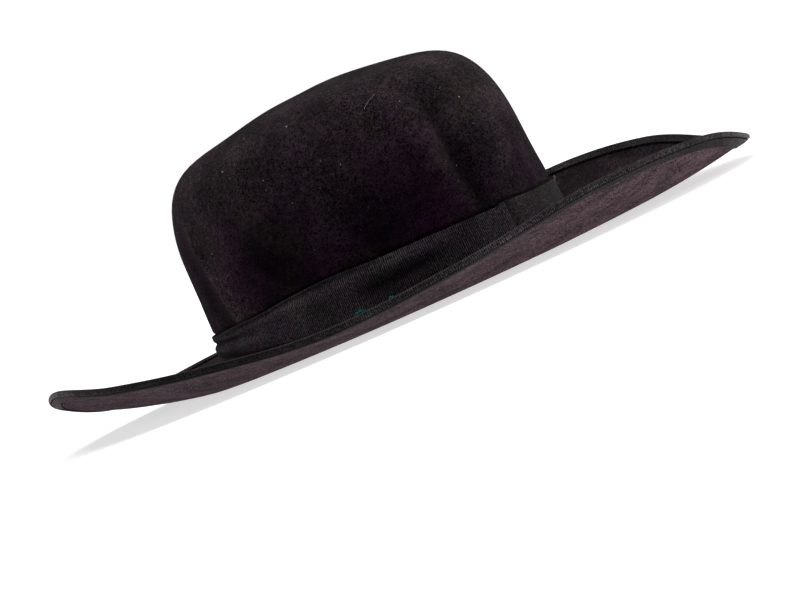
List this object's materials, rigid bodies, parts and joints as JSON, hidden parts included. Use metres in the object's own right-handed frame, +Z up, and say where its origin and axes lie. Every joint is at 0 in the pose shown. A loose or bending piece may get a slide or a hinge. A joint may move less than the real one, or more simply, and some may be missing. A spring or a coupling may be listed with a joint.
{
  "type": "amish hat",
  "caption": "Wide-brimmed felt hat: tall round crown open below, creased ribbon band with a lapped end, and a waved, upturned brim bound with ribbon.",
  "frame": {"origin": "middle of the hat's footprint, on the floor that the flat ring of the brim's underside rests on", "axes": "+X towards the wearer's left, +Y towards the back of the hat, +Z up"},
  "size_m": [0.3662, 0.4032, 0.1243],
  "materials": {
    "felt": "matte brushed felt with a soft nap and a faint sheen, black with a brown-violet cast",
    "band_ribbon": "fine ribbed black ribbon, dull satin",
    "binding_ribbon": "fine ribbed black ribbon, worn greyish along the edge"
  },
  "bodies": {
    "root": {"felt_body": "felt", "hat_band": "band_ribbon", "brim_binding": "binding_ribbon"}
  },
  "joints": []
}
